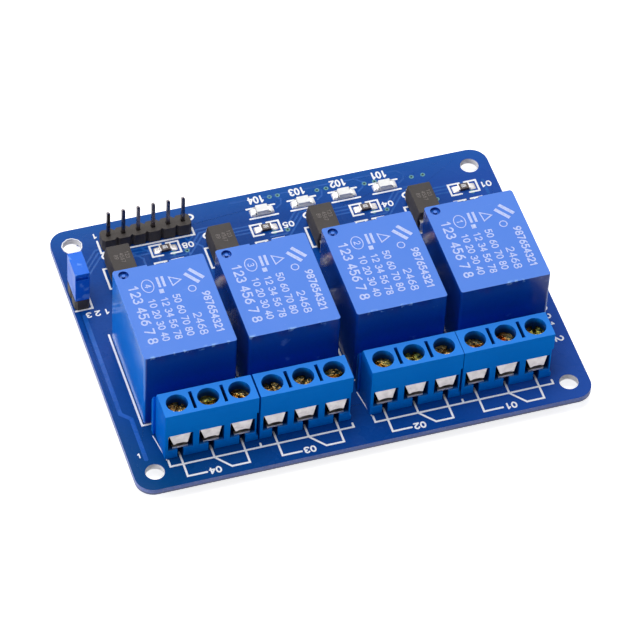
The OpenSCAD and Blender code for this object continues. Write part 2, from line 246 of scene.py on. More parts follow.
MASK = (0.002, 0.052, 0.275)
mask = Shader("solder_mask", MASK, 0.30, spec=0.08)
mask.cloud(0.05, 0.08, 2.0)
mask.cloud(2.5, 0.04, 3.0)
# painted shade makes the coat darker and a little greener towards one corner, and a painted reflection makes
# it paler along the far rim
to_corner = mask.math("ADD", mask.axis("X"), mask.axis("Y"))
mask.mix(mask.ramp(to_corner, -30, -62, 0, 0.65), (0.001, 0.058, 0.180))
# and a painted reflection makes it a little more violet towards the other end
mask.mix(mask.ramp(mask.axis("X"), 12, 38, 0, 0.75), (0.018, 0.080, 0.40))
mask.mix(mask.ramp(mask.axis("Y"), board_hi.y - 6, board_hi.y + 2, 0, 0.6), (0.010, 0.115, 0.43))
mask.grain(0.35, 0.02, 2.0)
mask.grain(7, 0.002, 2.0)
mask.patchy(0.15, 0.07)
# the cut edge: pale blue resin with the glass layers showing as fine lines
edge = mask.ramp(mask.normal_z(), 0.72, 0.6, 0, 1)
layers = mask.noise(1.0, 2.0, stretch=(0.35, 0.35, 9))
fibre = mask.noise(3.0, 3.0, stretch=(2.5, 2.5, 0.6))
mask.mix(edge, (0.17, 0.24, 0.62))
mask.mix(mask.product(edge, mask.ramp(layers, 0.45, 0.62, 0, 0.5)), (0.30, 0.34, 0.62))
mask.mix(mask.product(edge, mask.ramp(fibre, 0.52, 0.72, 0, 0.5)), (0.42, 0.44, 0.60))
# painted shade: the lower part of the cut edge is darker and greyer
shaded_lower_rim = mask.ramp(mask.axis("Z"), 0.40 * top, 0.24 * top, 0, 0.85)
mask.mix(mask.product(edge, shaded_lower_rim), (0.20, 0.22, 0.33))
# the drilled mounting holes show pale glass fibre with no mask, and painted light makes their walls whiter
# below a thin band at the top
RIM = 1.6  # no nearer to the board's outer edge than this
in_x = mask.ramp(mask.math("ABSOLUTE", mask.axis("X")), board_hi.x - RIM, board_hi.x - RIM + 0.1, 1, 0)
in_y = mask.ramp(mask.math("ABSOLUTE", mask.axis("Y")), board_hi.y - RIM, board_hi.y - RIM + 0.1, 1, 0)
bare_and_lit_wall = mask.product(edge, in_x, in_y, mask.ramp(mask.axis("Z"), 0.93 * top, 0.86 * top, 0.25, 1))
mask.mix(bare_and_lit_wall, (0.96, 0.95, 0.97))

trace_mat = Shader("masked_copper", (0.010, 0.095, 0.40), 0.28, spec=0.16)
trace_mat.cloud(0.4, 0.08, 2.0).grain(2.0, 0.006).patchy(0.5, 0.06)

ink = Shader("white_ink", (0.88, 0.89, 0.92), 0.55, spec=0.3)
ink.cloud(4.0, 0.05, 3.0).grain(12, 0.004).patchy(2.0, 0.08)

# relay cases: a matt, eroded roof and smooth, glossy sides
row_x = max(abs(box("relay_case_1")[1].x), abs(box("relay_case_4")[0].x))
case_near, case_top = box("relay_case_1")[0].y, box("relay_case_1")[1].z
case_mat = Shader("case_plastic", (0.003, 0.050, 0.36), 0.5, spec=0.4)
case_mat.cloud(0.12, 0.03, 3.0)
case_mat.cloud(5.0, 0.03, 2.0)
# painted light: the outer walls at the two ends of the row are brighter than the sides that face each other
painted_light_row_end = case_mat.ramp(case_mat.math("ABSOLUTE", case_mat.axis("X")), row_x - 0.3, row_x - 0.1, 0, 1)
case_mat.mix(painted_light_row_end, (0.004, 0.195, 0.80))
SKIN = 0.40  # the vents are deeper than this below the roof
high = case_mat.ramp(case_mat.axis("Z"), case_top - SKIN, case_top - SKIN + 0.1, 0, 1)
roof = case_mat.product(case_mat.ramp(case_mat.normal_z(), 0.45, 0.95, 0, 1), high)
erosion = case_mat.product(case_mat.noise(6.5, 4.0), case_mat.math("ADD", roof, 0.06))
relief = case_mat.node("ShaderNodeBump")
relief.inputs["Distance"].default_value = 0.012 * MM
case_mat.link(erosion, relief.inputs["Height"])
case_mat.link(relief.outputs["Normal"], case_mat.bsdf.inputs["Normal"])
gloss = case_mat.ramp(case_mat.noise(0.4, 3.0), 0.3, 0.7, -0.04, 0.05)
roughness = case_mat.math("ADD", gloss, case_mat.ramp(roof, 0, 1, 0.17, 0.52))
case_mat.link(roughness, case_mat.bsdf.inputs["Roughness"])
# painted sheen: the roof is paler than the sides
case_mat.mix(case_mat.ramp(roof, 0, 1, 0.0, 1.0), (0.070, 0.215, 0.75))
# painted shade: the floors of the vents, below the roof skin, are darker than the roof
deeper = case_mat.ramp(case_mat.axis("Z"), case_top - SKIN, case_top - SKIN - 0.1, 0, 1)
shaded_vent_floor = case_mat.product(deeper, case_mat.ramp(case_mat.normal_z(), 0.8, 0.9, 0, 1))
case_mat.mix(shaded_vent_floor, (0.012, 0.110, 0.52))
# small pale burrs along the near edge of the roof
burr = case_mat.product(case_mat.ramp(case_mat.axis("Y"), case_near + 0.5, case_near + 0.15, 0, 1),
                        case_mat.ramp(case_mat.axis("Z"), case_top - 0.7, case_top - 0.2, 0, 1),
                        case_mat.ramp(case_mat.noise(0.9, 3.0, shift=(2.3, 0, 0)), 0.60, 0.68, 0, 0.7))
case_mat.mix(burr, (0.30, 0.52, 0.88))
scuff = case_mat.noise(0.35, 4.0, stretch=(1, 6, 1), turn=24)
case_mat.mix(case_mat.ramp(scuff, 0.68, 0.80, 0, 0.25), (0.35, 0.50, 0.92))

print_mat = Shader("pale_ink", (0.50, 0.58, 0.93), 0.6, spec=0.3)
print_mat.cloud(3.0, 0.10, 4.0).grain(10, 0.004)
worn = print_mat.noise(5.0, 4.0)
print_mat.mix(print_mat.ramp(worn, 0.60, 0.74, 0, 0.6), (0.17, 0.33, 0.84))

term_front = box("terminal_housing_1")[0].y
term_top = box("terminal_housing_1")[1].z
POLE = 5.08
BLOCK_W = 3 * POLE


def block_plastic(k):
    """Terminal plastic of one block, with painted shade in its chambers and wells and on some of its faces,
    and a painted sheen on its top.
    """
    lo, hi = box(f"terminal_housing_{k}")
    m = plastic(f"block_plastic_{k}", (0.0002, 0.265, 1.0), 0.40, spec=0.02, grain=(4, 0.006), drift=0.03)
    x, y, z = m.axis("X"), m.axis("Y"), m.axis("Z")
    flow = m.noise(0.25, 2.0, stretch=(0.4, 1, 2.5))
    m.mix(m.ramp(flow, 0.5, 0.75, 0, 0.35), (0.001, 0.30, 1.0))
    # painted shade makes the ends of a block darker than its front, and a painted sheen makes its matt top
    # paler
    m.mix(m.ramp(m.normal_along("X"), 0.7, 0.9, 0, 0.9), (0.0005, 0.135, 0.62))
    m.mix(m.ramp(m.normal_z(), 0.8, 0.95, 0, 0.8), (0.040, 0.235, 0.76))
    # painted shade in the chambers behind the wire openings, and in the wells above the screws
    across = m.math("ABSOLUTE", m.math("SUBTRACT", x, hi.x - BLOCK_W / 2))
    chamber = m.product(m.ramp(z, top + 6.5, top + 6.6, 1, 0),
                        m.ramp(y, term_front + 6.4, term_front + 6.5, 1, 0))
    well = m.product(m.ramp(z, term_top - 0.15, term_top - 1.2, 0, 1),
                     m.ramp(y, term_front + 4.5, term_front + 4.6, 1, 0))
    recess_shade = m.product(m.math("MAXIMUM", chamber, well),
                     m.ramp(across, BLOCK_W / 2 - 0.32, BLOCK_W / 2 - 0.27, 1, 0),
                     m.ramp(y, term_front + 0.1, term_front + 0.7, 0, 0.9))
    m.mix(recess_shade, (0.0005, 0.022, 0.12))
    # painted shade on the walls that face another block across the middle gap
    if k == 2:
        m.mix(m.ramp(x, lo.x + 0.12, lo.x + 0.02, 0, 0.85), (0.001, 0.065, 0.33))
    if k == 3:
        m.mix(m.ramp(x, hi.x - 0.12, hi.x - 0.02, 0, 0.85), (0.001, 0.065, 0.33))
    return m


block_mats = [block_plastic(k + 1) for k in CHANNELS]

cap_mat = plastic("jumper_plastic", (0.003, 0.145, 0.78), 0.33, spec=0.25, grain=(6, 0.005), drift=0.03)
# pale lilac patches on the cap
pale_patch = cap_mat.noise(0.55, 2.0, shift=(3.2, 1.1, 0))
cap_mat.mix(cap_mat.ramp(pale_patch, 0.60, 0.70, 0, 0.45), (0.26, 0.52, 0.95))
base_mat = plastic("base_plastic", (0.014, 0.03, 0.10), 0.55, drift=0.08)
strip_mat = plastic("strip_plastic", (0.062, 0.053, 0.048), 0.55, spec=0.3, grain=(8, 0.012), drift=0.10)
package_mat = plastic("moulded_package", (0.052, 0.045, 0.042), 0.62, spec=0.35, grain=(9, 0.014), drift=0.08)
chip_mat = plastic("resistor_glaze", (0.085, 0.062, 0.058), 0.35, spec=0.5, grain=(14, 0.004), drift=0.12)

solder_mat = metal("solder", (0.74, 0.71, 0.71), 0.46, grain=(2.5, 0.012), drift=0.10)
solder_mat.grain(14, 0.004)
# painted light: a paler copy of the solder for the lamp ends
lamp_solder = metal("bright_solder", (0.93, 0.92, 0.92), 0.5, grain=(2.5, 0.02), drift=0.04)
tin_mat = metal("tinned_steel", (0.74, 0.70, 0.69), 0.46, grain=(9, 0.006), drift=0.07)
stain = tin_mat.noise(0.9, 5.0, stretch=(1, 1, 2))
tin_mat.mix(tin_mat.ramp(stain, 0.56, 0.76, 0, 0.55), (0.46, 0.42, 0.40))
# painted shade on the metal far inside the terminal chambers
recess_shade = tin_mat.product(tin_mat.ramp(tin_mat.axis("Y"), term_front + 0.75, term_front + 1.0, 0, 0.92),
                       tin_mat.ramp(tin_mat.axis("Z"), top + 2.9, top + 3.3, 1, 0),
                       tin_mat.ramp(tin_mat.axis("Y"), term_front + 9, term_front + 10, 1, 0))
tin_mat.mix(recess_shade, (0.06, 0.055, 0.045))
pin_mat = metal("pin_metal", (0.20, 0.18, 0.19), 0.26, grain=(3, 0.008), stretch=(1, 1, 0.3))
iron_mat = metal("soft_iron", (0.50, 0.50, 0.52), 0.42, grain=(5, 0.008))
brass_mat = metal("screw_brass", (0.80, 0.52, 0.16), 0.20, grain=(1.3, 0.10), drift=0.12)
brass_mat.grain(5, 0.02)
tarnish = brass_mat.noise(0.20, 2.0)
brass_mat.mix(brass_mat.ramp(tarnish, 0.48, 0.60, 0, 0.85), (0.70, 0.22, 0.05))
olive = brass_mat.noise(0.22, 2.0, shift=(5, 9, 2))
brass_mat.mix(brass_mat.ramp(olive, 0.52, 0.62, 0, 0.75), (0.58, 0.60, 0.10))
brass_mat.mix(brass_mat.ramp(brass_mat.noise(1.6, 4.0), 0.50, 0.42, 0, 0.9), (0.06, 0.035, 0.02))
contact_mat = metal("contact_brass", (0.83, 0.62, 0.30), 0.3)
coil_mat = metal("coil_wire", (0.62, 0.28, 0.12), 0.35, grain=(3, 0.05), stretch=(0.2, 0.2, 4))
lamp_mat = Shader("lamp_white", (0.86, 0.86, 0.85), 0.38, spec=0.5)
lamp_mat.cloud(1.2, 0.03).grain(3, 0.01).patchy(1.0, 0.06)
lens_mat = Shader("lamp_lens", (0.88, 0.88, 0.80), 0.25, spec=0.6)
lens_mat.cloud(1.0, 0.04).grain(2, 0.008)
glass_mat = Shader("diode_glass", (0.62, 0.22, 0.12), 0.14, spec=0.6)
glass_mat.cloud(1.0, 0.15, 3.0).grain(1.5, 0.01)
band_mat = Shader("diode_band", (0.06, 0.05, 0.05), 0.4)
band_mat.cloud(3.0, 0.1).grain(5, 0.004)
hole_mat = Shader("hole_shade", (0.004, 0.012, 0.02), 0.7)
hole_mat.cloud(5.0, 0.2).grain(6, 0.004)
via_mat = Shader("masked_ring", (0.075, 0.27, 0.30), 0.3)
via_mat.cloud(4.0, 0.15, 3.0).grain(6, 0.006)
mark_mat = Shader("package_mark", (0.17, 0.15, 0.14), 0.7)
mark_mat.cloud(4.0, 0.15, 3.0).grain(9, 0.006)

# ---------------------------------------------------------------- CAD nodes: softened edges and materials


def tidy_group():
    """Geometry nodes that join the frame's split vertices and shade by angle, without moving a vertex."""
    g = bpy.data.node_groups.new("join_and_shade", "GeometryNodeTree")
    g.interface.new_socket("Geometry", in_out="INPUT", socket_type="NodeSocketGeometry")
    g.interface.new_socket("Geometry", in_out="OUTPUT", socket_type="NodeSocketGeometry")
    chain = [g.nodes.new("NodeGroupInput")]
    drop = g.nodes.new("GeometryNodeRemoveAttribute")
    drop.inputs["Name"].default_value = "custom_normal"
    join = g.nodes.new("GeometryNodeMergeByDistance")
    join.inputs["Distance"].default_value = 2e-6
    faces = g.nodes.new("GeometryNodeSetShadeSmooth")
    faces.domain = "FACE"
    faces.inputs["Shade Smooth"].default_value = True
    edges = g.nodes.new("GeometryNodeSetShadeSmooth")
    edges.domain = "EDGE"
    angle = g.nodes.new("GeometryNodeInputMeshEdgeAngle")
    less = g.nodes.new("FunctionNodeCompare")
    less.data_type = "FLOAT"
    less.operation = "LESS_THAN"
    less.inputs["B"].default_value = math.radians(25)
    g.links.new(angle.outputs["Unsigned Angle"], less.inputs["A"])
    g.links.new(less.outputs["Result"], edges.inputs["Shade Smooth"])
    chain += [drop, join, faces, edges, g.nodes.new("NodeGroupOutput")]

    def geometry(sockets):
        return [s for s in sockets if s.type == "GEOMETRY"][0]

    for a, b in zip(chain, chain[1:]):
        g.links.new(geometry(a.outputs), geometry(b.inputs))
    return g


TIDY = tidy_group()


def soften(o, width, segments=2):
    """Rounds the sharp edges by a width in millimetres."""
    o.modifiers.new("join", "NODES").node_group = TIDY
    b = o.modifiers.new("round", "BEVEL")
    b.width = width * MM
    b.segments = segments
    b.limit_method = "ANGLE"
    b.angle_limit = math.radians(35)
    b.use_clamp_overlap = True
    b.harden_normals = True


def paint(o, material):
    for s in o.material_slots:
        s.link = "OBJECT"
        s.material = material


FINISH = {  # node name's start: material, edge rounding in millimetres
    "circuit_board": (mask.mat, 0.05),
    "relay_base": (base_mat.mat, 0),
    "relay_coil": (coil_mat.mat, 0),
    "relay_yoke": (iron_mat.mat, 0),
    "relay_armature": (iron_mat.mat, 0),
    "relay_contacts": (contact_mat.mat, 0),
    "terminal_housing": (None, 0.12),
    "terminal_contacts": (tin_mat.mat, 0.05),
    "terminal_screw": (brass_mat.mat, 0.10),
    "header_strip": (strip_mat.mat, 0.06),
    "header_pins": (pin_mat.mat, 0.04),
    "jumper_strip": (strip_mat.mat, 0.06),
    "jumper_pins": (pin_mat.mat, 0.04),
    "jumper_cap": (cap_mat.mat, 0.09),
    "jumper_clip": (tin_mat.mat, 0),
    "optocoupler_leads": (tin_mat.mat, 0.04),
    "optocoupler": (package_mat.mat, 0.26),
    "indicator_lamps": (lamp_mat.mat, 0.08),
    "lamp_resistors": (chip_mat.mat, 0.05),
    "chip_resistors": (chip_mat.mat, 0.05),
    "flyback_diodes": (glass_mat.mat, 0.12),
    "driver_transistors": (package_mat.mat, 0.05),
}
for name, o in nodes.items():
    start = max((s for s in FINISH if name.startswith(s)), key=len, default=None)
    if start is None:
        continue
    material, width = FINISH[start]
    paint(o, material or block_mats[int(name[-1]) - 1].mat)
    if width:
        soften(o, width)

# ---------------------------------------------------------------- builders of new pieces, in millimetres


def make(name, bm, body, material, smooth=0.0, hides=()):
    """A piece from a bmesh in millimetres, which rides on a body."""
    bmesh.ops.recalc_face_normals(bm, faces=bm.faces)
    bm.transform(Matrix.Scale(MM, 4))
    me = bpy.data.meshes.new(name)
    for f in bm.faces:
        f.smooth = smooth > 0
    for e in bm.edges:
        if len(e.link_faces) == 2:
            e.smooth = e.calc_face_angle(0) < math.radians(smooth or 1)
    bm.to_mesh(me)
    bm.free()
    o = bpy.data.objects.new(name, me)
    scene.collection.objects.link(o)
    for m in material if isinstance(material, (list, tuple)) else [material]:
        me.materials.append(m)
    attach(o, body)
    if hides:
        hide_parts(*hides)
    return o


def arc(cx, cy, rx, ry, start, end, steps=10):
    out = []
    for i in range(steps + 1):
        a = math.radians(start + (end - start) * i / steps)
        out.append((cx + rx * math.cos(a), cy + ry * math.sin(a)))
    return out


def stroke(bm, points, width, z, thick=0.025, closed=False, round_ends=True):
    """A flat ribbon with mitred corners along points, standing on z."""
    pts = [Vector((p[0], p[1])) for p in points]
    r, n = width / 2, len(pts)
    rows = []
    for i, p in enumerate(pts):
        before = pts[i - 1] if i or closed else None
        after = pts[(i + 1) % n] if i < n - 1 or closed else None
        d1 = (p - before).normalized() if before is not None else None
        d2 = (after - p).normalized() if after is not None else None
        n1 = Vector((-d1.y, d1.x)) if d1 is not None else Vector((-d2.y, d2.x))
        n2 = Vector((-d2.y, d2.x)) if d2 is not None else n1
        m = n1 + n2
        m = m.normalized() if m.length > 1e-6 else n1
        rows.append((p, m * (r / max(0.5, m.dot(n1)))))
    if not closed and round_ends:
        first = (pts[0] - pts[1]).normalized()
        last = (pts[-1] - pts[-2]).normalized()
        angles = [math.radians(a) for a in (30, 60, 82)]
        head = [(pts[0] + first * r * math.sin(a), rows[0][1] * math.cos(a)) for a in reversed(angles)]
        tail = [(pts[-1] + last * r * math.sin(a), rows[-1][1] * math.cos(a)) for a in angles]
        rows = head + rows + tail
    rings = []
    for p, off in rows:
        a, b = p + off, p - off
        rings.append([
            bm.verts.new((a.x, a.y, z)), bm.verts.new((a.x, a.y, z + thick)),
            bm.verts.new((b.x, b.y, z + thick)), bm.verts.new((b.x, b.y, z)),
        ])
    pairs = list(zip(rings, rings[1:])) + ([(rings[-1], rings[0])] if closed else [])
    for a, b in pairs:
        for i in range(3):
            bm.faces.new((a[i], a[i + 1], b[i + 1], b[i]))
    if not closed:
        bm.faces.new(rings[0])
        bm.faces.new(list(reversed(rings[-1])))


# strokes of each numeral in a cell 0.6 wide and 1 high; a stroke that ends where it starts is a loop
DIGITS = {
    "0": [arc(0.3, 0.5, 0.3, 0.5, 0, 360, 18)],
    "1": [[(0.34, 1), (0.34, 0)], [(0.08, 0.76), (0.34, 0.99)]],
    "2": [arc(0.3, 0.7, 0.28, 0.3, 165, -35, 9) + [(0.02, 0.02)], [(0.0, 0.0), (0.6, 0.0)]],
    "3": [arc(0.28, 0.75, 0.26, 0.25, 150, -80, 8), arc(0.28, 0.27, 0.31, 0.27, 80, -150, 9)],
    "4": [[(0.45, 0), (0.45, 1)], [(0.43, 0.99), (0, 0.31)], [(0, 0.3), (0.62, 0.3)]],
    "5": [[(0.55, 1), (0.1, 1)], [(0.1, 0.99), (0.06, 0.57)], arc(0.27, 0.32, 0.31, 0.32, 135, -140, 10)],
    "6": [arc(0.3, 0.3, 0.29, 0.3, 0, 360, 16), [(0.5, 0.98), (0.2, 0.8), (0.02, 0.35)]],
    "7": [[(0, 1), (0.6, 1)], [(0.59, 0.99), (0.22, 0)]],
    "8": [arc(0.3, 0.75, 0.25, 0.25, 0, 360, 14), arc(0.3, 0.25, 0.3, 0.26, 0, 360, 14)],
    "9": [arc(0.3, 0.7, 0.29, 0.3, 0, 360, 16), [(0.1, 0.02), (0.4, 0.2), (0.58, 0.65)]],
}


def number(bm, text, start, along, height, pen, z, gap=0.26, squeeze=1.0):
    """Plain numerals from start, read in the direction along. The baseline passes through start."""
    along = Vector(along).normalized()
    rise = Vector((-along.y, along.x))
    here = Vector(start)
    for c in text:
        for j, line in enumerate(DIGITS.get(c, [])):
            pts = [here + along * (x * height * squeeze) + rise * (y * height) for x, y in line]
            loop = (pts[0] - pts[-1]).length < 1e-6
            stroke(bm, pts[:-1] if loop else pts, pen, z + 0.003 * j, closed=loop)
        here += along * (height * squeeze * (0.6 + gap) if c != " " else height * 0.45)
    return here


def bar(bm, x0, y0, x1, y1, z, thick=0.025):
    """A filled rectangle."""
    low_, high_ = [], []
    for x, y in ((x0, y0), (x1, y0), (x1, y1), (x0, y1)):
        low_.append(bm.verts.new((x, y, z)))
        high_.append(bm.verts.new((x, y, z + thick)))
    bm.faces.new(high_)
    for i in range(4):
        bm.faces.new((low_[i], low_[(i + 1) % 4], high_[(i + 1) % 4], high_[i]))


def lathe(bm, x, y, profile, steps=16, squash=1.0, wobble=0.0):
    """A turned shape on a vertical axis: the profile is (radius, z) from one end to the other."""
    rings = []
    for k, (r, z) in enumerate(profile):
        if r < 1e-6:
            rings.append([bm.verts.new((x, y, z))])
            continue
        ring = []
        for i in range(steps):
            a = 2 * math.pi * i / steps
            rr = r * (1 + wobble * math.sin(2 * a + x + y) + 0.5 * wobble * math.sin(3 * a + 2 * x))
            ring.append(bm.verts.new((x + rr * math.cos(a), y + squash * rr * math.sin(a), z)))
        rings.append(ring)
    for a, b in zip(rings, rings[1:]):
        if len(a) == 1 and len(b) == 1:
            continue
        for i in range(steps):
            j = (i + 1) % steps
            if len(a) == 1:
                bm.faces.new((a[0], b[j], b[i]))
            elif len(b) == 1:
                bm.faces.new((a[i], a[j], b[0]))
            else:
                bm.faces.new((a[i], a[j], b[j], b[i]))


def pillow(bm, cx, cy, z, w, d, h, slope=(0, 0), power=4, steps=8):
    """A soft lump with a rounded rectangular outline. slope raises it towards +X or +Y."""
    grid = []
    for i in range(steps + 1):
        row = []
        for j in range(steps + 1):
            u, v = 2 * i / steps - 1, 2 * j / steps - 1
            round_off = (1 - abs(u) ** power) * (1 - abs(v) ** power)
            rise = max(0.0, round_off) ** 0.5 * h * (1 + slope[0] * u + slope[1] * v)
            pull = 1 - 0.10 * (abs(u) * abs(v)) ** 3
            row.append(bm.verts.new((cx + u * w / 2 * pull, cy + v * d / 2 * pull, z + rise)))
        grid.append(row)
    for i in range(steps):
        for j in range(steps):
            bm.faces.new((grid[i][j], grid[i + 1][j], grid[i + 1][j + 1], grid[i][j + 1]))


# ---------------------------------------------------------------- places that several pieces share

relays = [middle(f"relay_case_{k + 1}") for k in CHANNELS]
relay_lo, relay_hi = box("relay_case_1")
relay_w, relay_l = relay_hi.x - relay_lo.x, relay_hi.y - relay_lo.y
blocks = [box(f"terminal_housing_{k + 1}") for k in CHANNELS]
optos = [middle(f"optocoupler_{k + 1}") for k in CHANNELS]
chips = "chip_resistors" if "chip_resistors" in nodes else "lamp_resistors"
poles = [[blocks[k][1].x - BLOCK_W / 2 + i * POLE for i in (-1, 0, 1)] for k in CHANNELS]
front_y = blocks[0][0].y
lamps_lo, lamps_hi = box("indicator_lamps")
LAMP_W = 3.2
lamp_step = (lamps_hi.x - lamps_lo.x - LAMP_W) / 3
lamps = [(lamps_hi.x - LAMP_W / 2 - k * lamp_step, (lamps_lo.y + lamps_hi.y) / 2) for k in CHANNELS]
chips_lo, chips_hi = box(chips)
CHIP_W, CHIP_D, CHIP_H = 2.0, 1.25, 0.5
chip_step = (chips_hi.x - chips_lo.x - CHIP_W - 0.1) / 3
chip_row = chips_hi.y - CHIP_D / 2
chip_near = chips_lo.y + CHIP_D / 2
header_lo, header_hi = box("header_strip")
PIN = 2.54
header_x = [header_lo.x + PIN / 2 + PIN * j for j in range(6)]
LEG_X = 1.27  # the optocouplers' legs to either side of their middle
jumper = middle("jumper_cap")
jumper_lo, jumper_hi = box("jumper_strip")

# ---------------------------------------------------------------- board print

PEN = 0.34
sheet = bmesh.new()


def line(*points, pen=PEN, level=0):
    stroke(sheet, points, pen, top + 0.002 * level)


def label(text, x, y, height=0.95, pen=0.24, squeeze=1.15):
    """A numeral that reads from the board's far side, with its corner at x, y."""
    number(sheet, text, (x, y), (-1, 0), height, pen, top, squeeze=squeeze)


# chip resistor frames, split in the middle of both long sides, with a numeral beside them
for k in CHANNELS:
    x = chips_hi.x - CHIP_W / 2 - k * chip_step
    for row, y in enumerate((chip_row, chip_near)):
        shift = 0.0 if row == 0 else -0.1
        w, d, split = 2.42, 1.22, 0.45
        for s in (-1, 1):
            line((x + shift + s * split, y + d), (x + shift + s * w, y + d), (x + shift + s * w, y - d),
                 (x + shift + s * (split + (0.25 if row == 0 else 0)), y - d), level=row)
    label(f"0{(1, 4, 5, 8)[k]}", x + 4.75, chip_row + 0.4, 1.05)

# lamps: a bar on either side and a numeral beyond
for k, (x, y) in enumerate(lamps):
    line((x - 2.35, y + 1.12), (x + 2.5, y + 1.12))
    line((x - 2.35, y - 1.15), (x + 2.5, y - 1.15))
    label(f"10{k + 1}", x + 1.05, y + 3.5, 1.35, 0.3, 0.8)

# optocouplers: a bracket on the left and a half ring at the first lead
for k, o in enumerate(optos):
    line((o.x - 1.8, o.y + 2.1), (o.x - 2.62, o.y + 2.1), (o.x - 2.62, o.y - 2.35), (o.x - 1.8, o.y - 2.35))
    line((o.x + 1.8, o.y + 2.1), (o.x + 2.62, o.y + 2.1), (o.x + 2.62, o.y - 2.35), (o.x + 1.8, o.y - 2.35))
    line(*arc(o.x - 1.3, o.y + 4.75, 0.72, 0.6, 100, 260, 8), pen=0.32)

# header: a line before it, stubs at both ends and an arc at the last pin
hx0, hx1 = header_lo.x - 0.32, header_hi.x + 0.32
line((hx0, header_hi.y - 0.1), (hx0, header_lo.y - 0.3), (hx1, header_lo.y - 0.3), (hx1, header_hi.y - 1.25))
line(*arc(header_hi.x + 0.35, (header_lo.y + header_hi.y) / 2 + 2.35, 0.85, 0.62, 62, -62, 8), pen=0.36)
label("1", header_lo.x - 0.15, header_hi.y + 1.55, 0.9)
label("6", header_hi.x - 0.9, header_hi.y + 1.55, 0.9)

# jumper: a frame round its strip and plain numerals before it
jx0, jx1 = max(board_lo.x + 0.3, jumper_lo.x - 0.2), jumper_hi.x + 0.36
line((jx1, jumper_hi.y + 0.2), (jx1, jumper_lo.y - 0.1), (jx0, jumper_lo.y - 0.1))
number(sheet, "1 2 3", (-32.5, 9.95), (-1, 0), 0.95, 0.24, top, squeeze=1.3)

# relays: outlines that show round their feet
for k, r in enumerate(relays):
    x0, x1 = r.x - relay_w / 2 - 0.3, r.x + relay_w / 2 + 0.3
    y0, y1 = r.y - relay_l / 2 - 0.12, r.y + relay_l / 2 + 0.12
    line((x0, y0 + 19.7), (x0, y0), (x0 + 1.6, y0), level=1)
    line((x1 - 1.6, y1), (x1, y1), (x1, y1 - 3), level=2)

# terminal blocks: base lines that join two blocks, with short ticks
for a, b in ((3, 2), (1, 0)):
    x0, x1 = blocks[a][0].x + 0.85, blocks[b][1].x - 0.1
    y = front_y - 1.63
    line((x0 - 0.95, front_y + 5.1), (x0 - 0.15, front_y - 0.3), pen=0.16)
    line((x0, y + 1.25), (x0, y), (x1, y), (x1, y + 0.75))
    seam = (blocks[a][1].x + blocks[b][0].x) / 2 + 0.2
    line((seam, y), (seam, y + 0.7), level=1)

# a contact symbol before each block: fixed pole, moving pole and the pole it touches
for k in CHANNELS:
    p0, p1, p2 = poles[k]
    y0, y1 = front_y + 0.85, front_y - 4.2
    line((p0, y0), (p0, y1), (p0 + 3.15, y1), level=2)
    line((p1 + 0.05, y0), (p1 + 0.05, front_y - 1.7), (p1 + 2.2, y1 + 0.1),
         (p2 + 0.05, y1 + 0.1), (p2 + 0.05, y0), level=3)
    label(f"0{k + 1}", p1 + 0.35, y1 + 0.55, 1.05, 0.28)

# ring round the far left hole, and small numerals near the edges
hole_x, hole_y = 34.55, 24.75
RING_STEPS = 44
ring = []
for i in range(RING_STEPS):
    a = 2 * math.pi * i / RING_STEPS
    r = 1.63 + 0.02 * math.sin(5 * a) + 0.03 * math.sin(11 * a)
    ring.append((-hole_x + r * math.cos(a), hole_y + r * math.sin(a)))
stroke(sheet, ring, 0.17, top, closed=True)
number(sheet, "1", (-36.3, -21.4), (1, 0), 0.8, 0.2, top)
number(sheet, "3 2 1", (35.2, -8.4), (0, -1), 1.2, 0.26, top, squeeze=1.2)
number(sheet, "2", (35.5, -15.2), (0, -1), 1.3, 0.28, top, squeeze=1.2)
make("board_print", sheet, "board", ink.mat)

# ---------------------------------------------------------------- copper under the mask

tracks = bmesh.new()
FILM = 0.010


def track(*points, width, thick=FILM):
    stroke(tracks, points, width, top, thick)


for o in optos:
    # three thin tracks pass round the far end of each optocoupler
    for j in range(3):
        step = 0.75 * j
        side = 0.4 * step
        track((o.x - 8.6, o.y + 1.0 + step), (o.x - 5.6 - side, o.y + 1.0 + step),
              (o.x - 2.2 - side, o.y + 5.0 + step), (o.x + 0.4, o.y + 5.0 + step),
              (o.x + 2.0 + side, o.y + 3.5 + step), (o.x + 8.6, o.y + 3.5 + step), width=0.3)
    # the coil tracks towards the relay
    track((o.x + LEG_X, o.y - 3.8), (o.x + LEG_X, o.y - 8), (o.x + 3.5, o.y - 10),
          width=0.6, thick=FILM + 0.002)
for x, y in lamps:
    track((x + 2.6, y + 0.2), (x + 3.6, y + 0.9), (x + 3.9, y + 2.0), (x + 2.9, y + 3.0),
          (x - 4.5, y + 3.2), width=0.28, thick=FILM + 0.003)
for x in header_x:
    y = header_lo.y
    track((x, y + 1.2), (x, y - 1.0), (x + 2.2, y - 3.2), (x + 2.2, y - 9), width=0.32, thick=FILM + 0.001)
track((-36.6, 9.4), (-36.6, -12), (-35.2, -13.4), (-35.2, -22), width=0.7)
track((35.6, 21), (35.6, -4), width=0.5)
make("board_tracks", tracks, "board", trace_mat.mat)

# the solder side: broad tracks from the relay contacts to the terminals, and the thin signal tracks
tracks = bmesh.new()
lead_y = front_y + 3.3


def under_track(*points, width, thick):
    stroke(tracks, points, width, under - thick, thick)


